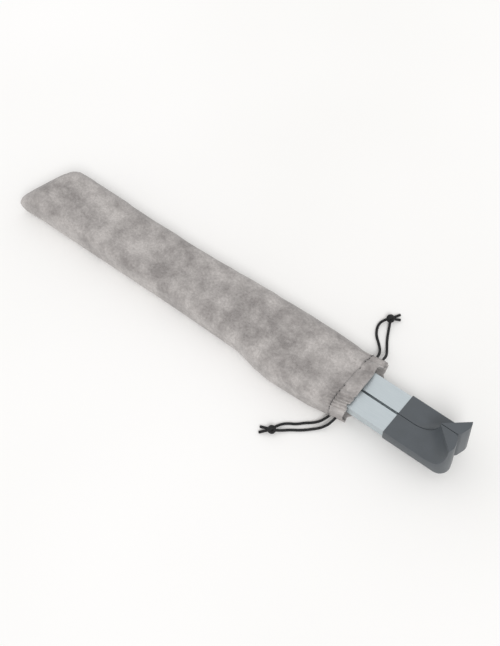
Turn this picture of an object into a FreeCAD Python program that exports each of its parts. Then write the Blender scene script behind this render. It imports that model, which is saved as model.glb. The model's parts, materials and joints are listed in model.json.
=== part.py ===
"""Folding X-frame laptop stand, stored in its drawstring pouch. Millimetres, +Z up, +X towards the hooks.

Two flat aluminium arms cross at a pivot in the middle and lie side by side when folded. Each arm has a hooked
cap at its front end and two folding legs under it. The pouch covers all but the front ends of the arms.
"""

import FreeCAD, Part
import math
import os

V = FreeCAD.Vector

# ---- driving dimensions ----
# arms
BAR_W = 16.2             # width of one aluminium bar
BAR_H = 6.9              # height of one bar
BAR_WALL = 1.2
BAR_GAP = 1.9            # between the two bars when folded
BAR_TOP = 21.3           # height of the bars' top faces above the floor
BAR_BOTTOM = BAR_TOP - BAR_H
BAR_Y = BAR_GAP / 2 + BAR_W / 2          # centre line of one bar
FRONT_TUBE_END = 167.0
REAR_TUBE_END = 170.0
FIT = 0.1                # between a spigot and the tube around it

# hooked caps
CAP_X = 135.5            # where the cap's sleeve starts
CAP_GAP = 0.5            # between the two caps when folded
CAP_HALF = 18.0          # outer side of a cap from the centre line
CAP_BOTTOM = 13.65
CAP_TOP = 22.0           # top of the flat sleeve
LIP_TOP = 44.05          # top of the hook's lip
CAP_FRONT_INNER = 47.0   # front corner beside the centre line, from CAP_X
CAP_FRONT_OUTER = 52.5   # front corner at the outer side, from CAP_X
CAP_ROUND_INNER = 4.0
CAP_ROUND_OUTER = 8.0
RIDGE_START = (32.3, 0.3)     # rear end of the lip's ridge, from CAP_X and the centre line
RIDGE_ANGLE = 40.9            # of the ridge from the arm's direction
SWOOP_DEPTH = 13.3       # the curve under the lip, level with the sleeve this far behind the ridge

# central knuckle
SWING = 49.1             # each arm opens by this many degrees
DISC_R = BAR_Y + BAR_W / 2
LAP_GAP = 0.5            # between the two half-height discs
LUG_START = 21.0         # the full-height lugs start here, so that the arms can open
LUG_END = 27.0
SPIGOT = 18.0
PIVOT_R = 5.0
PIVOT_CLEAR = 0.05
PIVOT_HEAD_R = 9.0
PIVOT_HEAD_H = 2.6
PIVOT_NUT_H = 1.0
PIVOT_NUT_R = 8.0
WASHER_R = 11.0
WASHER_H = 0.4

# folding legs
LEG_W = 12.8
LEG_H = 10.8
LEG_WALL = 1.2
LEG_Z = 7.2              # height of a folded leg's centre line and of its hinge pin
FRONT_LEG_X = 88.0
FRONT_LEG = 68.0         # from the hinge to the foot's end
REAR_LEG_X = -147.0
REAR_LEG = 128.0
LEG_EYE = 12.0           # the eye's block reaches this far along the leg
FOOT = 9.0
LEG_SPIGOT = 12.0
HINGE_R = 2.0
HINGE_CLEAR = 0.06
EAR_T = 1.4
EAR_R = 4.6
EAR_CLEAR = 0.2
PLATE_T = 1.3
PLATE_SHORT = 7.0        # the bracket's plate on the leg's side of the hinge
PLATE_LONG = 15.4        # and on the other side, where it is riveted
RIVETS_AT = (7.6, 12.6)
RIVET_R = 1.5
RIVET_HEAD_R = 2.4
RIVET_HEAD_H = 0.7
HOLE_CLEAR = 0.05

# small parts on the arms
REAR_CAP_T = 4.5
REAR_CAP_SPIGOT = 7.0
PAD_W = 9.0
PAD_T = 0.8
FRONT_PAD = (38.0, 82.0)
REAR_PAD = (-152.0, -60.0)
SCREW_R = 1.45
SCREW_HEAD_R = 2.6
SCREW_HEAD_H = 0.6
CAP_SCREW_AT = 14.0      # from CAP_X

# pouch
POUCH_HALF = 22.5
POUCH_H = 24.0
POUCH_SIDE = 1.4
POUCH_FLOOR = 1.2
POUCH_ROUND = 8.0
HEM_START = 93.0
MOUTH_X = 104.5
HEM_HALF = 20.6
HEM_INNER = 18.3
HEM_ROUND = 5.0
HEM_INNER_ROUND = 3.0

# drawcords
CORD_D = 2.0
KNOT_R = 3.3
NEAR_KNOT = (69.2, -55.2, 3.6)
FAR_KNOT = (81.0, 71.0, 3.6)
CORDS = {
    "near_cord_front": [
        (99.6, -19.6, 7.0), (99.0, -26.0, 5.2), (95.6, -31.8, 2.4), (90.2, -37.0, 1.3),
        (84.6, -42.4, 1.15), (78.6, -46.6, 1.15), (73.6, -51.8, 1.9), (70.6, -54.6, 3.2)],
    "near_cord_rear": [
        (95.2, -19.6, 6.0), (93.6, -25.6, 3.8), (89.4, -31.0, 1.5), (83.6, -35.6, 1.15),
        (79.2, -40.4, 1.15), (73.6, -43.8, 1.15), (70.0, -48.8, 1.6), (68.9, -53.6, 3.2)],
    "far_cord_front": [
        (99.8, 19.6, 17.0), (100.0, 27.2, 15.6), (99.2, 35.2, 10.6), (97.4, 42.8, 5.0),
        (93.2, 49.4, 1.7), (88.8, 55.8, 1.15), (85.2, 62.8, 1.4), (81.9, 69.4, 3.2)],
    "far_cord_rear": [
        (95.0, 19.6, 16.0), (95.2, 28.0, 13.6), (94.0, 36.0, 8.2), (91.4, 43.4, 3.2),
        (86.4, 49.2, 1.2), (80.6, 53.8, 1.15), (76.9, 60.0, 1.15), (76.2, 65.8, 1.6), (79.4, 69.8, 3.2)],
}
TAILS = {
    "near_knot": ((60.6, -57.4, 1.2), (62.6, -61.6, 1.2)),
    "far_knot": ((86.8, 75.8, 1.2), (84.0, 79.4, 1.2)),
}


def box(x0, x1, y0, y1, z0, z1):
    """Box between two corners, given in any order."""
    low = V(min(x0, x1), min(y0, y1), min(z0, z1))
    return Part.makeBox(abs(x1 - x0), abs(y1 - y0), abs(z1 - z0), low)


def post(r, z0, z1, x, y):
    """Upright cylinder."""
    return Part.makeCylinder(r, z1 - z0, V(x, y, z0))


def rod(r, x, y0, y1, z):
    """Cylinder across the part, along Y."""
    return Part.makeCylinder(r, y1 - y0, V(x, y0, z), V(0, 1, 0))


def side_view(points, y0, y1):
    """Prism across the part from a closed outline of (x, z) points."""
    wire = Part.makePolygon([V(x, y0, z) for x, z in points + points[:1]])
    return Part.Face(wire).extrude(V(0, y1 - y0, 0))


def rounded_bar(x0, x1, half, z0, z1, r):
    """Bar along X with its four long edges rounded."""
    body = box(x0, x1, -half, half, z0, z1)
    long_edges = [e for e in body.Edges if e.BoundBox.XLength > abs(x1 - x0) - 0.01]
    return body.makeFillet(r, long_edges)


def mirrored(shape):
    """The same shape on the other side of the centre line."""
    return shape.mirror(V(0, 0, 0), V(0, 1, 0))


def export(name, *solids):
    """Write one node, made of one or more separate solids."""
    shape = solids[0] if len(solids) == 1 else Part.makeCompound(list(solids))
    if not shape.isValid():
        raise ValueError(name + " is not valid")
    shape.exportStep("parts/" + name + ".step")


# ---- arms: every shape is made for the left arm, whose front half is at -Y and rear half at +Y ----
def tube(x0, x1, y, holes):
    """Hollow rectangular bar with round holes (x, radius) in its bottom wall."""
    outer = box(x0, x1, y - BAR_W / 2, y + BAR_W / 2, BAR_BOTTOM, BAR_TOP)
    half = BAR_W / 2 - BAR_WALL
    inner = box(x0, x1, y - half, y + half, BAR_BOTTOM + BAR_WALL, BAR_TOP - BAR_WALL)
    body = outer.cut(inner)
    for x, r in holes:
        body = body.cut(post(r, BAR_BOTTOM - 1, BAR_BOTTOM + BAR_WALL + 0.5, x, y))
    return body


def spigot(x0, x1, y):
    """Solid tongue that fits inside a tube."""
    half = BAR_W / 2 - BAR_WALL - FIT
    return box(x0, x1, y - half, y + half, BAR_BOTTOM + BAR_WALL + FIT, BAR_TOP - BAR_WALL - FIT)


def hook_cap():
    """Hooked cap over the front end of the left bar, with a curved seat under its lip."""
    inner = -CAP_GAP / 2
    corners = [
        (CAP_X, inner), (CAP_X + CAP_FRONT_INNER, inner),
        (CAP_X + CAP_FRONT_OUTER, -CAP_HALF), (CAP_X, -CAP_HALF)]
    wire = Part.makePolygon([V(x, y, CAP_BOTTOM) for x, y in corners + corners[:1]])
    block = Part.Face(wire).extrude(V(0, 0, LIP_TOP - CAP_BOTTOM))
    for front, r in ((CAP_FRONT_INNER, CAP_ROUND_INNER), (CAP_FRONT_OUTER, CAP_ROUND_OUTER)):
        corner = [
            e for e in block.Edges
            if e.BoundBox.ZLength > 1 and abs(e.BoundBox.Center.x - CAP_X - front) < 0.01]
        block = block.makeFillet(r, corner)
    block = block.cut(swoop_tool())
    half = BAR_W / 2 + FIT / 2
    socket = box(
        CAP_X - 1, FRONT_TUBE_END + FIT, -BAR_Y - half, -BAR_Y + half,
        BAR_BOTTOM - FIT / 2, BAR_TOP + FIT / 2)
    block = block.cut(socket)
    seat = post(SCREW_HEAD_R + HOLE_CLEAR, CAP_BOTTOM - 1, BAR_BOTTOM, CAP_X + CAP_SCREW_AT, -BAR_Y)
    return block.cut(seat)


def swoop_tool():
    """What is cut away behind the lip: a quarter ellipse under the ridge, then level with the sleeve."""
    angle = math.radians(RIDGE_ANGLE)
    along = V(math.cos(angle), -math.sin(angle), 0)
    back = V(-math.sin(angle), -math.cos(angle), 0)
    start = V(CAP_X + RIDGE_START[0], -RIDGE_START[1], 0)
    reach = 100.0

    def at(s, z):
        return start - along * reach + back * s + V(0, 0, z)

    centre = at(SWOOP_DEPTH, LIP_TOP)
    curve = Part.Ellipse(at(SWOOP_DEPTH, CAP_TOP), at(0, LIP_TOP), centre)
    arc = Part.ArcOfEllipse(curve, 0, math.pi / 2).toShape()
    above = LIP_TOP + 5
    straight = Part.makePolygon([
        at(0, LIP_TOP), at(0, above), at(reach, above), at(reach, CAP_TOP), at(SWOOP_DEPTH, CAP_TOP)])
    outline = Part.Wire(Part.__sortEdges__([arc] + straight.Edges))
    return Part.Face(outline).extrude(along * 2 * reach)


def knuckle(z0, z1):
    """Half-height disc between z0 and z1, with a full-height lug and spigot for each half of the left arm."""
    body = post(DISC_R, z0, z1, 0, 0)
    for sign in (1, -1):
        y = -sign * BAR_Y
        outer = -sign * DISC_R
        inner = -sign * BAR_GAP / 2
        body = body.fuse(box(0, sign * LUG_START, inner, outer, z0, z1))
        lug = box(sign * LUG_START, sign * LUG_END, inner, outer, BAR_BOTTOM, BAR_TOP)
        tongue = spigot(sign * (LUG_END - 1), sign * (LUG_END + SPIGOT), y)
        screw = post(SCREW_R, BAR_BOTTOM, BAR_BOTTOM + 4.5, sign * (LUG_END + SPIGOT / 2), y)
        body = body.fuse(lug).fuse(tongue.cut(screw))
    bore = post(PIVOT_R + PIVOT_CLEAR, z0 - 1, z1 + 1, 0, 0)
    return body.removeSplitter().cut(bore)


def screw(x, y, z, length):
    """Pan-head screw driven upwards from z."""
    return post(SCREW_HEAD_R, z - SCREW_HEAD_H, z, x, y).fuse(post(SCREW_R, z, z + length, x, y))


def rivet(x, y):
    """Rivet through a bracket's plate and the bar's bottom wall, set over inside the bar."""
    plate_bottom = BAR_BOTTOM - PLATE_T
    inside = BAR_BOTTOM + BAR_WALL
    shank = post(RIVET_R, plate_bottom, inside, x, y)
    head = post(RIVET_HEAD_R, plate_bottom - RIVET_HEAD_H, plate_bottom, x, y)
    tail = post(RIVET_HEAD_R, inside, inside + RIVET_HEAD_H, x, y)
    return head.fuse(shank).fuse(tail)


def rear_cap():
    """Plug in the rear end of the left arm's rear tube."""
    face = box(
        -REAR_TUBE_END - REAR_CAP_T, -REAR_TUBE_END,
        BAR_Y - BAR_W / 2, BAR_Y + BAR_W / 2, BAR_BOTTOM, BAR_TOP)
    upright = [
        e for e in face.Edges
        if e.BoundBox.ZLength > 1 and e.BoundBox.Center.x < -REAR_TUBE_END - 1]
    return face.makeFillet(3.0, upright).fuse(spigot(-REAR_TUBE_END - 1, -REAR_TUBE_END + REAR_CAP_SPIGOT, BAR_Y))


def pad(x0, x1, y):
    """Thin grip pad on top of a bar."""
    body = box(x0, x1, y - PAD_W / 2, y + PAD_W / 2, BAR_TOP, BAR_TOP + PAD_T)
    upright = [e for e in body.Edges if e.BoundBox.ZLength > PAD_T / 2]
    return body.makeFillet(PAD_W / 2 - 0.5, upright)


# ---- legs: made at the hinge with the leg along +X, then turned and moved to their places ----
def leg_eye():
    """Hinge eye that plugs into the leg's tube."""
    half = LEG_W / 2
    body = rod(LEG_H / 2, 0, -half, half, 0).fuse(box(0, LEG_EYE, -half, half, -LEG_H / 2, LEG_H / 2))
    inner_half = half - LEG_WALL - FIT
    inner_h = LEG_H / 2 - LEG_WALL - FIT
    body = body.fuse(box(LEG_EYE - 1, LEG_EYE + LEG_SPIGOT, -inner_half, inner_half, -inner_h, inner_h))
    return body.removeSplitter().cut(rod(HINGE_R + HINGE_CLEAR, 0, -half - 1, half + 1, 0))


def leg_tube(length):
    """Hollow leg between the eye's block and the foot."""
    half = LEG_W / 2
    outer = box(LEG_EYE, length - FOOT, -half, half, -LEG_H / 2, LEG_H / 2)
    wall = LEG_WALL
    return outer.cut(box(
        LEG_EYE - 1, length, -half + wall, half - wall, -LEG_H / 2 + wall, LEG_H / 2 - wall))


def leg_foot(length):
    """Rubber foot plugged into the leg's end, with rounded corners."""
    half = LEG_W / 2
    body = box(length - FOOT, length, -half, half, -LEG_H / 2, LEG_H / 2)
    end_edges = [e for e in body.Edges if e.BoundBox.Center.x > length - 0.01]
    body = body.makeFillet(2.0, end_edges)
    inner_half = half - LEG_WALL - FIT
    inner_h = LEG_H / 2 - LEG_WALL - FIT
    start = length - FOOT - LEG_SPIGOT + 3
    return body.fuse(box(start, length - FOOT + 1, -inner_half, inner_half, -inner_h, inner_h))


def leg_bracket():
    """Riveted plate with an ear on each side of the leg's eye."""
    top = BAR_BOTTOM - LEG_Z
    under = top - PLATE_T
    ear_in = LEG_W / 2 + EAR_CLEAR
    ear_out = ear_in + EAR_T
    body = box(-PLATE_LONG, PLATE_SHORT, -ear_out, ear_out, under, top)
    for sign in (1, -1):
        y0, y1 = sorted((sign * ear_in, sign * ear_out))
        cheek = side_view([(-EAR_R, 0), (EAR_R, 0), (PLATE_SHORT, under), (-PLATE_SHORT, under)], y0, y1)
        body = body.fuse(cheek).fuse(rod(EAR_R, 0, y0, y1, 0))
    body = body.removeSplitter().cut(rod(HINGE_R + HOLE_CLEAR / 2, 0, -ear_out - 1, ear_out + 1, 0))
    for x in RIVETS_AT:
        body = body.cut(post(RIVET_R + HOLE_CLEAR, under - 1, top + 1, -x, 0))
    return body


def leg_pin():
    """Hinge pin, as long as the bracket is wide."""
    reach = LEG_W / 2 + EAR_CLEAR + EAR_T
    return rod(HINGE_R, 0, -reach, reach, 0)


def place_leg(shape, x, y, towards):
    """Turn a leg part about Z so that the leg points along +X or -X, and move it to its hinge."""
    placed = shape.copy()
    if towards < 0:
        placed.rotate(V(0, 0, 0), V(0, 0, 1), 180)
    placed.translate(V(x, y, LEG_Z))
    return placed


# ---- pouch and drawcords ----
def pouch_shell(rear):
    """Soft tube, closed at the rear end and open towards the hem."""
    outer = rounded_bar(rear, HEM_START, POUCH_HALF, 0, POUCH_H, POUCH_ROUND)
    inner = rounded_bar(
        rear + POUCH_SIDE, HEM_START + 5, POUCH_HALF - POUCH_SIDE,
        POUCH_FLOOR, POUCH_H - POUCH_FLOOR, POUCH_ROUND - 1)
    return outer.cut(inner)


def pouch_hem():
    """Gathered band around the mouth."""
    outer = rounded_bar(HEM_START, MOUTH_X, HEM_HALF, 0, POUCH_H, HEM_ROUND)
    inner = rounded_bar(
        HEM_START - 5, MOUTH_X + 5, HEM_INNER, POUCH_FLOOR, POUCH_H - POUCH_FLOOR, HEM_INNER_ROUND)
    return outer.cut(inner)


def cord(name, points):
    """Round cord of straight runs joined by tangent arcs, each as large as its two runs allow."""
    spots = [V(*p) for p in points]
    edges = []
    start = spots[0]
    radii = []
    for before, corner, after in zip(spots, spots[1:], spots[2:]):
        arrive = (corner - before).normalize()
        leave = (after - corner).normalize()
        turn = arrive.getAngle(leave)
        cut_back = 0.45 * min((corner - before).Length, (after - corner).Length)
        radius = cut_back / math.tan(turn / 2)
        radii.append(radius)
        first = corner - arrive * cut_back
        last = corner + leave * cut_back
        bisector = (leave - arrive).normalize()
        centre = corner + bisector * math.hypot(radius, cut_back)
        middle = centre - bisector * radius
        edges.append(Part.LineSegment(start, first).toShape())
        edges.append(Part.Arc(first, middle, last).toShape())
        start = last
    edges.append(Part.LineSegment(start, spots[-1]).toShape())
    path = Part.Wire(edges)
    direction = (spots[1] - spots[0]).normalize()
    ring = Part.Wire([Part.Circle(spots[0], direction, CORD_D / 2).toShape()])
    solid = path.makePipeShell([ring], True, False)
    expected = math.pi * (CORD_D / 2) ** 2 * path.Length
    print("%s: length %.1f mm, radii %s, volume ratio %.4f" % (
        name, path.Length, " ".join("%.1f" % r for r in radii), solid.Volume / expected))
    return solid


def knot(centre, tails):
    """Overhand knot as a ball with two short tails lying on the floor."""
    middle = V(*centre)
    body = Part.makeSphere(KNOT_R, middle)
    for end in tails:
        run = V(*end) - middle
        body = body.fuse(Part.makeCylinder(CORD_D / 2, run.Length, middle, run))
    return body


def main():
    os.makedirs("parts", exist_ok=True)
    cap = hook_cap()
    front_holes = [(CAP_X + CAP_SCREW_AT, SCREW_R + HOLE_CLEAR)]
    front_holes.append((LUG_END + SPIGOT / 2, SCREW_R + HOLE_CLEAR))
    front_holes += [(FRONT_LEG_X + x, RIVET_R + HOLE_CLEAR) for x in RIVETS_AT]
    rear_holes = [(-LUG_END - SPIGOT / 2, SCREW_R + HOLE_CLEAR)]
    rear_holes += [(REAR_LEG_X - x, RIVET_R + HOLE_CLEAR) for x in RIVETS_AT]
    mid = (BAR_BOTTOM + BAR_TOP) / 2
    lap = {"left": (BAR_BOTTOM, mid - LAP_GAP / 2), "right": (mid + LAP_GAP / 2, BAR_TOP)}
    legs = {
        "front": (FRONT_LEG_X, -BAR_Y, -1, FRONT_LEG),
        "rear": (REAR_LEG_X, BAR_Y, 1, REAR_LEG),
    }
    for side in ("left", "right"):
        place = (lambda s: s) if side == "left" else mirrored
        export(side + "_hook_cap", place(cap))
        export(side + "_front_tube", place(tube(LUG_END, FRONT_TUBE_END, -BAR_Y, front_holes)))
        export(side + "_rear_tube", place(tube(-REAR_TUBE_END, -LUG_END, BAR_Y, rear_holes)))
        export(side + "_knuckle", place(knuckle(*lap[side])))
        export(side + "_rear_cap", place(rear_cap()))
        export(side + "_front_pad", place(pad(*FRONT_PAD, -BAR_Y)))
        export(side + "_rear_pad", place(pad(*REAR_PAD, BAR_Y)))
        export(side + "_cap_screw", place(screw(CAP_X + CAP_SCREW_AT, -BAR_Y, BAR_BOTTOM, 3.0)))
        export(
            side + "_knuckle_screws",
            place(screw(LUG_END + SPIGOT / 2, -BAR_Y, BAR_BOTTOM, 4.0)),
            place(screw(-LUG_END - SPIGOT / 2, BAR_Y, BAR_BOTTOM, 4.0)))
        rivets = [rivet(FRONT_LEG_X + x, -BAR_Y) for x in RIVETS_AT]
        rivets += [rivet(REAR_LEG_X - x, BAR_Y) for x in RIVETS_AT]
        export(side + "_arm_rivets", *[place(r) for r in rivets])
        for end, (x, y, towards, length) in legs.items():
            pieces = {
                "leg_eye": leg_eye(), "leg_tube": leg_tube(length), "leg_foot": leg_foot(length),
                "leg_bracket": leg_bracket(), "leg_pin": leg_pin()}
            for name, shape in pieces.items():
                export("%s_%s_%s" % (side, end, name), place(place_leg(shape, x, y, towards)))

    head_top = BAR_BOTTOM - HOLE_CLEAR
    pin = post(PIVOT_HEAD_R, head_top - PIVOT_HEAD_H, head_top, 0, 0)
    export("pivot_pin", pin.fuse(post(PIVOT_R, head_top, BAR_TOP + HOLE_CLEAR, 0, 0)))
    nut_bottom = BAR_TOP + HOLE_CLEAR
    export("pivot_cap", post(PIVOT_NUT_R, nut_bottom, nut_bottom + PIVOT_NUT_H, 0, 0))
    washer = post(WASHER_R, mid - WASHER_H / 2, mid + WASHER_H / 2, 0, 0)
    export("pivot_washer", washer.cut(post(PIVOT_R + PIVOT_CLEAR, mid - 1, mid + 1, 0, 0)))

    hook_tip = cap.BoundBox.XMax
    print("hook tip at", round(hook_tip, 3))
    export("pouch_shell", pouch_shell(-hook_tip))
    export("pouch_hem", pouch_hem())
    for name, points in CORDS.items():
        export(name, cord(name, points))
    export("near_knot", knot(NEAR_KNOT, TAILS["near_knot"]))
    export("far_knot", knot(FAR_KNOT, TAILS["far_knot"]))


main()
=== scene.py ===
import json
import math

import bpy
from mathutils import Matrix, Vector, noise


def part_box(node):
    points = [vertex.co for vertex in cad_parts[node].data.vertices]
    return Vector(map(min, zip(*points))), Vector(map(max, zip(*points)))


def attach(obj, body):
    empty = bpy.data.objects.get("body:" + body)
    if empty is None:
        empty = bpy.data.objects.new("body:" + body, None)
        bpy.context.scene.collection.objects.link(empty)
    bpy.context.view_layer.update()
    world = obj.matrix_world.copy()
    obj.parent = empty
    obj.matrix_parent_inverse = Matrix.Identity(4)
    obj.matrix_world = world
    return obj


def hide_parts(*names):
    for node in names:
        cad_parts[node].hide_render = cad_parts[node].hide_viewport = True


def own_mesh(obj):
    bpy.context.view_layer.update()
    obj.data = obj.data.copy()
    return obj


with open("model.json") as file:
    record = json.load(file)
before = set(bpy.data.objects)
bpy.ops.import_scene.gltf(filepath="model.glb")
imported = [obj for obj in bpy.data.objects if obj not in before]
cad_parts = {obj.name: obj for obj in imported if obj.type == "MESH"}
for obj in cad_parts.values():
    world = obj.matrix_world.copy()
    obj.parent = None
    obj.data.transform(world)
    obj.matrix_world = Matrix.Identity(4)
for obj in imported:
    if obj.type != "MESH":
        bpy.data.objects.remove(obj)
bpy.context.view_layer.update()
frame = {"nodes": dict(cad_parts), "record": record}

bl_info = {
    "name": "Pouched laptop stand",
    "version": (1, 0, 0),
    "blender": (4, 5, 0),
    "location": "View3D > Sidebar > Stand",
    "description": "Finishes for a folding laptop stand in its drawstring pouch",
    "category": "Object",
}

MM = 0.001
REAR_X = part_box("pouch_shell")[0].x / MM
HEM_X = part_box("pouch_hem")[0].x / MM
MOUTH_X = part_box("pouch_hem")[1].x / MM
CORD_RADIUS = 1.0
# width of one strand of the cord's braid
STRAND = 0.9

# camera: where it looks, from which side and how far
LOOK_AT = (10.3, -4.8, 22.0)
AZIMUTH = 38.24
ELEVATION = 57.08
DISTANCE = 1026.0
LENS = 80.33
# light levels: the sky's strength as a light, and the sun's; how wide the sun is and how it is turned
SKY = 0.72
SUN = 1.35
SUN_WIDTH = 24
SUN_TURN = (38, 22, 20)
FLOOR_SIZE = 6

# the pouch's outline: place along the stand, near side, far side and top
POUCH_STATIONS = [
    (-191.0, -21.0, 21.5, 18.5), (-188.5, -22.0, 23.5, 22.0), (-184.0, -22.0, 25.0, 24.0),
    (-174.0, -21.5, 25.2, 24.6), (-160.0, -21.5, 25.2, 24.4), (-100.0, -21.0, 25.2, 24.1),
    (-45.0, -20.6, 25.2, 24.0), (-16.0, -21.0, 28.0, 24.2), (12.0, -21.4, 29.0, 24.4),
    (30.0, -25.6, 29.6, 24.6), (45.0, -27.2, 30.0, 24.8), (62.0, -26.6, 30.0, 24.8),
    (78.0, -25.8, 29.6, 24.6), (90.0, -23.6, 29.0, 24.4), (97.0, -22.2, 29.4, 24.2),
    (106.0, -20.4, 31.0, 24.4)]
# creases on the top: start, end, half width and depth; a negative depth is a ridge
CREASES = [
    ((-104.0, 1.7), (-51.0, 4.6), 2.2, 0.75), ((-51.0, 4.6), (-10.0, 1.5), 2.4, 0.8),
    ((78.0, 17.5), (96.0, 11.0), 1.8, 1.0), ((84.0, 27.5), (97.0, 23.0), 2.0, 1.2),
    ((62.0, 4.0), (94.0, -2.0), 2.6, 0.7), ((27.0, -20.0), (88.0, -21.5), 1.8, -0.9),
    ((-30.0, 16.0), (22.0, 21.0), 4.0, 0.6), ((-2.0, -12.0), (30.0, -19.0), 3.0, 0.7),
    ((-150.0, -8.0), (-118.0, -2.0), 4.0, 0.6), ((-176.0, 12.0), (-150.0, 4.0), 4.0, 0.6),
    ((40.0, 14.0), (70.0, 20.0), 3.6, 0.5)]
# how finely the cloth is divided round and along the pouch, and its thickness
ROUND_STEPS = 192
ALONG_STEP = 1.5
CLOTH = 1.1
# how square the pouch's section is at its sides and top; a low power is square
SIDE_POWER = 0.42
TOP_POWER = 0.5
FLOOR_GAP = 0.35
LOWEST = 0.3
# past SAG_FROM the far side's top sags by up to SAG, over SAG_WIDTH
SAG_FROM = 16.0
SAG_WIDTH = 14.0
SAG = 3.2
# broad folds of the cloth, which start this far from the closed end
FOLD_SWELL = 0.75
FOLD_START = 25.0
# creases are only on the part of the cloth above this height
CREASE_HEIGHT = 10
# the mouth's gathers: where they start before the hem, how many puffs and how proud
GATHER_REACH = 10
PUFFS = 24
PUFF_SWELL = 1.25
# the closed end is pulled askew by this slope, which fades out along the pouch
END_SLOPE = 0.26
END_FADE = 40.0
# the mouth's edge is wavy over its last stretch
EDGE_WAVE = 6
# three flattening rings close the rear end: the height left, and the step outwards
END_RINGS = ((0.93, -1.4), (0.6, -0.9), (0.25, -0.3))
STITCHES = 36
STITCH_THICKNESS = 0.55

# each strand's route from the hem to its knot
CORD_ROUTES = {
    "near_cord_front": [
        (99.6, -19.6, 7.0), (99.0, -26.0, 5.2), (95.6, -31.8, 2.4), (90.2, -37.0, 1.3),
        (84.6, -42.4, 1.15), (78.6, -46.6, 1.15), (73.6, -51.8, 1.9), (70.6, -54.6, 3.2)],
    "near_cord_rear": [
        (95.2, -19.6, 6.0), (93.6, -25.6, 3.8), (89.4, -31.0, 1.5), (83.6, -35.6, 1.15),
        (79.2, -40.4, 1.15), (73.6, -43.8, 1.15), (70.0, -48.8, 1.6), (68.9, -53.6, 3.2)],
    "far_cord_front": [
        (99.8, 19.6, 17.0), (100.0, 27.2, 15.6), (99.2, 35.2, 10.6), (97.4, 42.8, 5.0),
        (93.2, 49.4, 1.7), (88.8, 55.8, 1.15), (85.2, 62.8, 1.4), (81.9, 69.4, 3.2)],
    "far_cord_rear": [
        (95.0, 19.6, 16.0), (95.2, 28.0, 13.6), (94.0, 36.0, 8.2), (91.4, 43.4, 3.2),
        (86.4, 49.2, 1.2), (80.6, 53.8, 1.15), (76.9, 60.0, 1.15), (76.2, 65.8, 1.6),
        (79.4, 69.8, 3.2)],
}
# each knot's centre and the ends of its two tails
KNOTS = {
    "near_knot": ((69.2, -55.2, 3.6), ((60.6, -57.4, 1.2), (62.6, -61.6, 1.2))),
    "far_knot": ((81.0, 71.0, 3.6), ((86.8, 75.8, 1.2), (84.0, 79.4, 1.2))),
}
# a knot is three tight turns of cord: how each is tilted, and its two radii
KNOT_TURNS = ((0.5, 0.3, 0.0), (1.4, 0.2, 0.9), (0.9, 1.5, 0.4))
KNOT_RADIUS = 1.9
KNOT_STRAND = 1.25
TAIL_ROUND = 0.35


# ---- colours and materials ----
def linear(text):
    """sRGB hex to linear RGBA."""
    parts = [int(text[i:i + 2], 16) / 255 for i in (1, 3, 5)]
    return (*[c / 12.92 if c <= 0.04045 else ((c + 0.055) / 1.055) ** 2.4 for c in parts], 1.0)


def add(tree, kind, settings=None, inputs=None, links=None):
    """Adds a node with its settings, input values and links to its inputs."""
    made = tree.nodes.new(kind)
    for name, value in (settings or {}).items():
        setattr(made, name, value)
    for name, value in (inputs or {}).items():
        made.inputs[name].default_value = value
    for name, source in (links or {}).items():
        tree.links.new(source, made.inputs[name])
    return made


def new_material(name):
    """An empty node material with its shader, output and Object coordinates."""
    material = bpy.data.materials.new(name)
    material.use_nodes = True
    tree = material.node_tree
    shader = tree.nodes["Principled BSDF"]
    place = add(tree, "ShaderNodeTexCoord").outputs["Object"]
    return material, tree, shader, place


def grain(tree, place, size_mm, detail=2.0, rough=0.5):
    """Noise whose features are about size_mm across."""
    return add(
        tree, "ShaderNodeTexNoise",
        inputs={"Scale": 1 / (size_mm * MM), "Detail": detail, "Roughness": rough},
        links={"Vector": place}).outputs["Fac"]


def between(tree, fac, low, high, start=0.3, end=0.7):
    """Colour ramp from one hex colour to another."""
    ramp = add(tree, "ShaderNodeValToRGB", links={"Fac": fac})
    ramp.color_ramp.elements[0].position = start
    ramp.color_ramp.elements[1].position = end
    ramp.color_ramp.elements[0].color = linear(low)
    ramp.color_ramp.elements[1].color = linear(high)
    return ramp.outputs["Color"]


def bump(tree, shader, height, depth_mm, strength=1.0):
    """Bump of a real depth on the shader's normal."""
    made = add(
        tree, "ShaderNodeBump", inputs={"Strength": strength, "Distance": depth_mm * MM},
        links={"Height": height})
    tree.links.new(made.outputs["Normal"], shader.inputs["Normal"])


def suede_cloth(light, dark):
    """Microfibre suede: a short nap that is brushed light and dark in soft patches."""
    material, tree, shader, place = new_material("microfibre_suede")
    # the patches are a thumb's width across; the nap is drawn coarser than it is, so that it shows
    patches = grain(tree, place, 17.0, 4.0, 0.62)
    fine = grain(tree, place, 1.7, 4.0, 0.8)
    broad = between(tree, patches, dark, light, 0.34, 0.66)
    specks = between(tree, fine, "#8A8684", "#FFFFFF", 0.32, 0.66)
    colour = add(
        tree, "ShaderNodeMix", {"data_type": "RGBA", "blend_type": "MULTIPLY"}, {0: 0.45},
        {6: broad, 7: specks})
    tree.links.new(colour.outputs[2], shader.inputs["Base Color"])
    shader.inputs["Roughness"].default_value = 0.95
    shader.inputs["Specular IOR Level"].default_value = 0.15
    shader.inputs["Sheen Weight"].default_value = 0.25
    shader.inputs["Sheen Roughness"].default_value = 0.6
    bump(tree, shader, grain(tree, place, 1.1, 4.0, 0.7), 0.35, 0.7)
    return material


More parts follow.
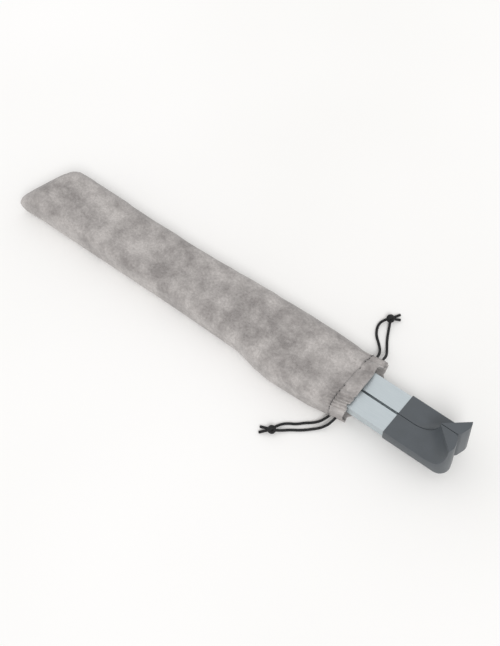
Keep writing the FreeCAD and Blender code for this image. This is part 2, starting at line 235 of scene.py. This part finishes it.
def anodised(name, colour, roughness):
    """Anodised aluminium: satin, with a fine grain drawn along the bar."""
    material, tree, shader, place = new_material(name)
    drawn = add(tree, "ShaderNodeMapping", inputs={"Scale": (0.03, 1.0, 1.0)}, links={"Vector": place})
    lines = grain(tree, drawn.outputs["Vector"], 0.35, 3.0)
    tree.links.new(between(tree, lines, colour, "#C9D0D3", 0.3, 0.9), shader.inputs["Base Color"])
    shader.inputs["Metallic"].default_value = 0.85
    shader.inputs["Roughness"].default_value = roughness
    bump(tree, shader, lines, 0.01, 0.25)
    return material


def moulded(name, light, dark, roughness, grit_mm=0.5):
    """Moulded plastic or rubber with a fine spark-eroded texture."""
    material, tree, shader, place = new_material(name)
    patches = grain(tree, place, 9.0, 3.0)
    tree.links.new(between(tree, patches, dark, light), shader.inputs["Base Color"])
    shader.inputs["Roughness"].default_value = roughness
    bump(tree, shader, grain(tree, place, grit_mm, 2.0), 0.03, 0.35)
    return material


def metal(name, light, dark, roughness, grit_mm=0.6):
    """Cast or plated metal with a fine blasted surface."""
    material, tree, shader, place = new_material(name)
    tree.links.new(between(tree, grain(tree, place, 5.0), dark, light), shader.inputs["Base Color"])
    shader.inputs["Metallic"].default_value = 0.9
    shader.inputs["Roughness"].default_value = roughness
    bump(tree, shader, grain(tree, place, grit_mm, 3.0), 0.03, 0.4)
    return material


def braided(name, colour, painted_highlight):
    """Braided cord or thread: small diagonal strands, lightened on their raised parts by a painted
    highlight.
    """
    material, tree, shader, place = new_material(name)
    strands = add(
        tree, "ShaderNodeTexVoronoi", inputs={"Scale": 1 / (STRAND * MM)}, links={"Vector": place})
    weave = strands.outputs["Distance"]
    # the strands' raised parts get the second colour, a painted highlight on the same pattern as the
    # bump
    tree.links.new(between(tree, weave, colour, painted_highlight, 0.2, 1.0), shader.inputs["Base Color"])
    shader.inputs["Roughness"].default_value = 0.85
    bump(tree, shader, weave, 0.2, 0.8)
    return material


# ---- shapes ----
def select_only(*objects):
    """Deselects everything, then selects these and makes the first active."""
    bpy.ops.object.select_all(action="DESELECT")
    for item in objects:
        item.select_set(True)
    bpy.context.view_layer.objects.active = objects[0]


def settle(piece, name, material):
    """Names a finished piece, puts its place in its mesh and gives it its material."""
    select_only(piece)
    bpy.ops.object.transform_apply(location=True, rotation=True, scale=True)
    piece.name = name
    piece.data.materials.clear()
    piece.data.materials.append(material)


def apply_modifier(piece, kind, **settings):
    """Adds a modifier with its settings and applies it."""
    modifier = piece.modifiers.new(kind.lower(), kind)
    for name, value in settings.items():
        setattr(modifier, name, value)
    select_only(piece)
    bpy.ops.object.modifier_apply(modifier=modifier.name)


def share(value):
    """The value kept between 0 and 1."""
    return min(1.0, max(0.0, value))


def station(x):
    """Near side, far side and top of the pouch at a place along it, straight between stations."""
    for a, b in zip(POUCH_STATIONS, POUCH_STATIONS[1:]):
        if x <= b[0]:
            t = share((x - a[0]) / (b[0] - a[0]))
            return [p + (q - p) * t for p, q in zip(a[1:], b[1:])]
    return list(POUCH_STATIONS[-1][1:])


def from_segment(x, y, start, end):
    """Distance from a segment, and how far along it the nearest point is."""
    ax, ay = start
    dx, dy = end[0] - ax, end[1] - ay
    t = share(((x - ax) * dx + (y - ay) * dy) / (dx * dx + dy * dy))
    return math.hypot(x - ax - dx * t, y - ay - dy * t), t


def surface(x, turn, proud=0.0):
    """Point on the pouch's outside: x is along it, and turn goes round it from 0 to 1.

    Turn 0 is the middle of the far side, 0.25 the top and 0.5 the near side.
    """
    near, far, top = station(x)
    angle = 2 * math.pi * turn
    across, up = math.cos(angle), math.sin(angle)
    half = (far - near) / 2 + proud
    y = (near + far) / 2 + half * math.copysign(abs(across) ** SIDE_POWER, across)
    tall = (top - FLOOR_GAP) / 2 + proud * max(0.0, up)
    z = (top + FLOOR_GAP) / 2 + tall * math.copysign(abs(up) ** TOP_POWER, up)
    if up > 0:
        over = share((y - SAG_FROM) / SAG_WIDTH)
        z -= SAG * over * over * up
    # the cloth moves freely on top and hardly at all where it rests on the floor
    softness = share(up * 1.6 + 0.35)
    ease = share((x - REAR_X) / FOLD_START)
    broad = noise.noise(Vector((x / 34.0, y / 15.0, z / 20.0)))
    narrow = noise.noise(Vector((x / 11.0, y / 7.0, 5.0)))
    folds = broad + 0.5 * narrow
    swell = FOLD_SWELL * folds * softness * ease
    if z > CREASE_HEIGHT:
        for start, end, width, depth in CREASES:
            away, t = from_segment(x, y, start, end)
            if away < 3 * width:
                swell -= depth * math.exp(-(away / width) ** 2) * math.sin(math.pi * (0.12 + 0.76 * t))
    gather = share((x - (HEM_X - GATHER_REACH)) / (MOUTH_X - HEM_X + GATHER_REACH))
    # sharp valleys between rounded puffs, unevenly spaced
    puffs = 2 * abs(math.sin(turn * math.pi * PUFFS + 2.2 * math.sin(turn * 19) + x / 30)) - 1.35
    swell += PUFF_SWELL * gather * puffs * softness
    outward = Vector((0, across, up)).normalized()
    y += outward.y * swell
    z = max(LOWEST, z + outward.z * swell)
    end_pull = max(0.0, 1 - (x - REAR_X) / END_FADE)
    slant = END_SLOPE * y * end_pull
    edge = share((x - MOUTH_X + EDGE_WAVE) / EDGE_WAVE)
    waves = 0.8 * math.sin(turn * 2 * math.pi * 7 + 1.3) + 0.5 * math.sin(turn * 2 * math.pi * 13)
    scallop = edge * waves
    return Vector((x + slant + scallop, y, z)) * MM


def sleeve(name, start, end, proud, material, closed):
    """Cloth sleeve between two places along the pouch, closed at its start if asked."""
    steps = max(4, round((end - start) / ALONG_STEP))
    bpy.ops.mesh.primitive_grid_add(x_subdivisions=steps, y_subdivisions=ROUND_STEPS, size=2)
    piece = bpy.context.object
    for vertex in piece.data.vertices:
        x = start + (end - start) * (vertex.co.x + 1) / 2
        vertex.co = surface(x, (vertex.co.y + 1) / 2, proud)
    select_only(piece)
    bpy.ops.object.mode_set(mode="EDIT")
    bpy.ops.mesh.select_all(action="SELECT")
    bpy.ops.mesh.remove_doubles(threshold=1e-6)
    bpy.ops.mesh.select_all(action="DESELECT")
    bpy.ops.object.mode_set(mode="OBJECT")
    if closed:
        close_end(piece)
    bpy.ops.object.mode_set(mode="EDIT")
    bpy.ops.mesh.select_all(action="SELECT")
    bpy.ops.mesh.normals_make_consistent(inside=False)
    bpy.ops.object.mode_set(mode="OBJECT")
    apply_modifier(piece, "SOLIDIFY", thickness=CLOTH * MM, offset=-1)
    select_only(piece)
    bpy.ops.object.shade_smooth()
    settle(piece, name, material)
    return piece


def close_end(piece):
    """Closes the open ring at the pouch's rear end with rings that flatten step by step."""
    bpy.ops.object.mode_set(mode="EDIT")
    bpy.ops.mesh.select_mode(type="EDGE")
    bpy.ops.mesh.select_non_manifold()
    bpy.ops.object.mode_set(mode="OBJECT")
    # only the rear ring stays selected, not the mouth's
    for edge in piece.data.edges:
        ends = [piece.data.vertices[i].co.x for i in edge.vertices]
        if sum(ends) / 2 > 0:
            edge.select = False
    for vertex in piece.data.vertices:
        if vertex.co.x > 0:
            vertex.select = False
    bpy.ops.object.mode_set(mode="EDIT")
    for height_left, reach in END_RINGS:
        bpy.ops.mesh.extrude_region_move(TRANSFORM_OT_translate={"value": (reach * MM, 0, 0)})
        bpy.ops.transform.resize(value=(1, 1, height_left))
    bpy.ops.mesh.edge_face_add()
    bpy.ops.object.mode_set(mode="OBJECT")


# ---- sizes and colours that a user would change ----
class PouchSettings(bpy.types.PropertyGroup):
    light: bpy.props.StringProperty(
        name="Nap light", description="Colour of the brushed-up nap", default="#C6C1BE")
    dark: bpy.props.StringProperty(
        name="Nap dark", description="Colour of the brushed-down nap", default="#979290")
    stitch_length: bpy.props.FloatProperty(
        name="Stitch length", description="Length of one hem stitch", default=2.2 * MM, unit="LENGTH")


class StandSettings(bpy.types.PropertyGroup):
    bar: bpy.props.StringProperty(
        name="Bar", description="Colour of the anodised bars", default="#BAC3C7")
    cap: bpy.props.StringProperty(
        name="Cap", description="Colour of the hooked caps", default="#50555A")
    edge: bpy.props.FloatProperty(
        name="Edge round", description="Rounding of the caps' edges", default=0.7 * MM, unit="LENGTH")


class STAND_OT_stage(bpy.types.Operator):
    """Pale floor, soft light and the camera"""
    bl_idname = "stand.stage"
    bl_label = "Stage"

    def execute(self, context):
        bpy.ops.mesh.primitive_plane_add(size=FLOOR_SIZE)
        floor = context.object
        material, tree, shader, place = new_material("studio_paper")
        # matte white paper, with a faint uneven tone
        tone = between(tree, grain(tree, place, 400.0), "#F6F5F3", "#FBFAF9")
        tree.links.new(tone, shader.inputs["Base Color"])
        shader.inputs["Roughness"].default_value = 0.9
        shader.inputs["Specular IOR Level"].default_value = 0.0
        settle(floor, "floor", material)
        a, e = math.radians(AZIMUTH), math.radians(ELEVATION)
        back = Vector((math.sin(a) * math.cos(e), -math.cos(a) * math.cos(e), math.sin(e)))
        bpy.ops.object.camera_add(location=(Vector(LOOK_AT) + back * DISTANCE) * MM)
        camera = context.object
        camera.rotation_euler = (-back).to_track_quat("-Z", "Y").to_euler()
        camera.data.lens = LENS
        camera.data.sensor_width = 36
        context.scene.camera = camera
        bpy.ops.object.light_add(type="SUN", rotation=[math.radians(turn) for turn in SUN_TURN])
        context.object.data.energy = SUN
        context.object.data.angle = math.radians(SUN_WIDTH)
        world = bpy.data.worlds.new("studio")
        world.use_nodes = True
        background = world.node_tree.nodes["Background"]
        background.inputs["Color"].default_value = linear("#FFFFFF")
        # seen directly, in a reflection or through a piece it is white, and as a light it is softer
        rays = add(world.node_tree, "ShaderNodeLightPath").outputs
        seen = add(
            world.node_tree, "ShaderNodeMath", {"operation": "ADD", "use_clamp": True},
            links={0: rays["Is Camera Ray"], 1: rays["Is Glossy Ray"]})
        either = add(
            world.node_tree, "ShaderNodeMath", {"operation": "ADD", "use_clamp": True},
            links={0: seen.outputs[0], 1: rays["Is Transmission Ray"]})
        strength = add(
            world.node_tree, "ShaderNodeMath", {"operation": "MULTIPLY_ADD"}, {1: 1 - SKY, 2: SKY},
            {0: either.outputs[0]})
        world.node_tree.links.new(strength.outputs[0], background.inputs["Strength"])
        context.scene.world = world
        context.scene.view_settings.view_transform = "Standard"
        return {"FINISHED"}


class STAND_OT_finishes(bpy.types.Operator):
    """Materials of the stand's own parts"""
    bl_idname = "stand.finishes"
    bl_label = "Stand finishes"

    def execute(self, context):
        chosen = context.scene.stand_sizes
        made = {
            # satin and a little blue, with a faint grain along the bar
            "anodised_aluminium": anodised("anodised_aluminium", chosen.bar, 0.42),
            # dull and blasted, so its highlights are broad
            "cast_aluminium": metal("die_cast_aluminium", "#B4B8BA", "#9EA2A5", 0.5),
            # dark slate grey with a soft sheen on the hooks' slopes
            "grey_plastic": moulded("moulded_abs", chosen.cap, "#4C5155", 0.4),
            # nearly black and without shine, as grip pads and feet are
            "silicone": moulded("silicone_rubber", "#34373A", "#2B2E30", 0.75),
            # milky and smooth
            "nylon": moulded("natural_nylon", "#E0DFD8", "#D2D1C9", 0.4),
            # bright and slightly blue plating
            "steel": metal("zinc_plated_steel", "#B9BABC", "#A4A6A8", 0.35, 0.4),
        }
        slots = {row["node"]: row["material_slot"] for row in frame["record"]["subparts"]}
        for name, node in frame["nodes"].items():
            if slots[name] in made:
                node.data.materials.clear()
                node.data.materials.append(made[slots[name]])
                select_only(node)
                bpy.ops.object.shade_smooth_by_angle(angle=math.radians(30))
        return {"FINISHED"}


class STAND_OT_caps(bpy.types.Operator):
    """Hooked caps with softly rounded edges"""
    bl_idname = "stand.caps"
    bl_label = "Hooked caps"

    def execute(self, context):
        chosen = context.scene.stand_sizes
        for side in ("left", "right"):
            node = frame["nodes"][side + "_hook_cap"]
            piece = bpy.data.objects.new(side + "_hook", node.data.copy())
            context.scene.collection.objects.link(piece)
            select_only(piece)
            bpy.ops.object.mode_set(mode="EDIT")
            bpy.ops.mesh.select_all(action="SELECT")
            bpy.ops.mesh.remove_doubles(threshold=1e-6)
            bpy.ops.mesh.dissolve_limited(angle_limit=math.radians(0.5))
            bpy.ops.object.mode_set(mode="OBJECT")
            apply_modifier(
                piece, "BEVEL", width=chosen.edge, segments=3, limit_method="ANGLE",
                angle_limit=math.radians(32), use_clamp_overlap=True)
            select_only(piece)
            bpy.ops.object.shade_smooth_by_angle(angle=math.radians(35))
            settle(piece, side + "_hook", node.data.materials[0])
            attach(piece, side + "_arm")
            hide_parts(side + "_hook_cap")
        return {"FINISHED"}


class STAND_OT_pouch(bpy.types.Operator):
    """Suede pouch with its gathered hem and row of stitches"""
    bl_idname = "stand.pouch"
    bl_label = "Pouch"

    def execute(self, context):
        chosen = context.scene.pouch_sizes
        cloth = suede_cloth(chosen.light, chosen.dark)
        shell = sleeve("pouch_cloth", POUCH_STATIONS[0][0], HEM_X + 1.2, 0.0, cloth, True)
        hem = sleeve("pouch_hem_band", HEM_X + 0.6, MOUTH_X + 0.6, 0.35, cloth, False)
        # the thread's second colour is a painted highlight on its strands
        thread = braided("spun_thread", "#2A2A2C", "#3A3A3D")
        stitches = self.stitches(context, thread, chosen.stitch_length)
        for piece, node in ((shell, "pouch_shell"), (hem, "pouch_hem")):
            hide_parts(node)
        for piece, slot in ((shell, "suede_cloth"), (hem, "suede_cloth"), (stitches, "drawcord")):
            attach(piece, "pouch")
            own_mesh(piece)
        return {"FINISHED"}

    def stitches(self, context, thread, length):
        """Short stitches round the hem, laid on the cloth where it is off the floor."""
        dashes = []
        for i in range(STITCHES):
            turn = (i + 0.5) / STITCHES
            here = surface(HEM_X + 1.4, turn, 0.5)
            ahead = surface(HEM_X + 1.4, turn + 0.005, 0.5)
            if here.z < 2 * MM:
                continue
            bpy.ops.mesh.primitive_uv_sphere_add(segments=10, ring_count=6, radius=0.5, location=here)
            dash = context.object
            dash.scale = (length, STITCH_THICKNESS * MM, STITCH_THICKNESS * MM)
            dash.rotation_mode = "QUATERNION"
            dash.rotation_quaternion = (ahead - here).to_track_quat("X", "Z")
            dashes.append(dash)
        select_only(*dashes)
        bpy.ops.object.join()
        piece = context.object
        piece.rotation_mode = "XYZ"
        settle(piece, "hem_stitches", thread)
        return piece


class STAND_OT_cords(bpy.types.Operator):
    """Drawcords and their tied knots"""
    bl_idname = "stand.cords"
    bl_label = "Drawcords"

    def execute(self, context):
        # the cord's second colour is a painted highlight on its strands
        cord_material = braided("braided_polyester", "#0A0A0B", "#1C1C1E")
        for name, where in KNOTS.items():
            self.knot(context, name, *where, cord_material)
        for name, route in CORD_ROUTES.items():
            curve = bpy.data.curves.new(name + "_strand", "CURVE")
            curve.dimensions = "3D"
            line = curve.splines.new("NURBS")
            line.points.add(len(route) - 1)
            for point, place in zip(line.points, route):
                point.co = (*[value * MM for value in place], 1.0)
            line.order_u = 3
            line.use_endpoint_u = True
            curve.bevel_depth = CORD_RADIUS * MM
            curve.bevel_resolution = 3
            curve.resolution_u = 8
            curve.use_fill_caps = True
            curve.materials.append(cord_material)
            strand = bpy.data.objects.new(name + "_strand", curve)
            context.scene.collection.objects.link(strand)
            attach(strand, "pouch")
            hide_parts(name)
        return {"FINISHED"}

    def knot(self, context, name, centre, tails, material):
        """Tied knot of three tight turns, with two cut tails."""
        middle = Vector(centre) * MM
        pieces = []
        for turn in KNOT_TURNS:
            bpy.ops.mesh.primitive_torus_add(
                location=middle, rotation=turn, major_segments=28, minor_segments=12,
                major_radius=KNOT_RADIUS * MM, minor_radius=KNOT_STRAND * MM)
            pieces.append(context.object)
        for end in tails:
            run = Vector(end) * MM - middle
            bpy.ops.mesh.primitive_cylinder_add(
                vertices=16, radius=CORD_RADIUS * MM, depth=run.length, location=middle + run / 2)
            tail = context.object
            tail.rotation_mode = "QUATERNION"
            tail.rotation_quaternion = run.to_track_quat("Z", "Y")
            apply_modifier(tail, "BEVEL", width=TAIL_ROUND * MM, segments=2, limit_method="ANGLE")
            pieces.append(tail)
        select_only(*pieces)
        bpy.ops.object.join()
        piece = context.object
        bpy.ops.object.shade_smooth_by_angle(angle=math.radians(40))
        settle(piece, name + "_tied", material)
        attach(piece, "pouch")
        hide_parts(name)
        return piece


class STAND_PT_panel(bpy.types.Panel):
    """Lists the steps that finish the stand and its pouch"""
    bl_idname = "STAND_PT_panel"
    bl_label = "Pouched stand"
    bl_space_type = "VIEW_3D"
    bl_region_type = "UI"
    bl_category = "Stand"

    def draw(self, context):
        for step in STEPS:
            self.layout.operator(step.bl_idname)
        for group in (context.scene.pouch_sizes, context.scene.stand_sizes):
            for name in group.__annotations__:
                self.layout.prop(group, name)


STEPS = (STAND_OT_stage, STAND_OT_finishes, STAND_OT_cords, STAND_OT_caps, STAND_OT_pouch)
CLASSES = (PouchSettings, StandSettings, *STEPS, STAND_PT_panel)


def register():
    for item in CLASSES:
        bpy.utils.register_class(item)
    bpy.types.Scene.pouch_sizes = bpy.props.PointerProperty(type=PouchSettings)
    bpy.types.Scene.stand_sizes = bpy.props.PointerProperty(type=StandSettings)


def unregister():
    del bpy.types.Scene.stand_sizes
    del bpy.types.Scene.pouch_sizes
    for item in reversed(CLASSES):
        bpy.utils.unregister_class(item)


def main():
    register()
    bpy.ops.stand.stage()
    bpy.ops.stand.finishes()
    bpy.ops.stand.cords()
    bpy.ops.stand.caps()
    bpy.ops.stand.pouch()


if __name__ == "__main__":
    main()
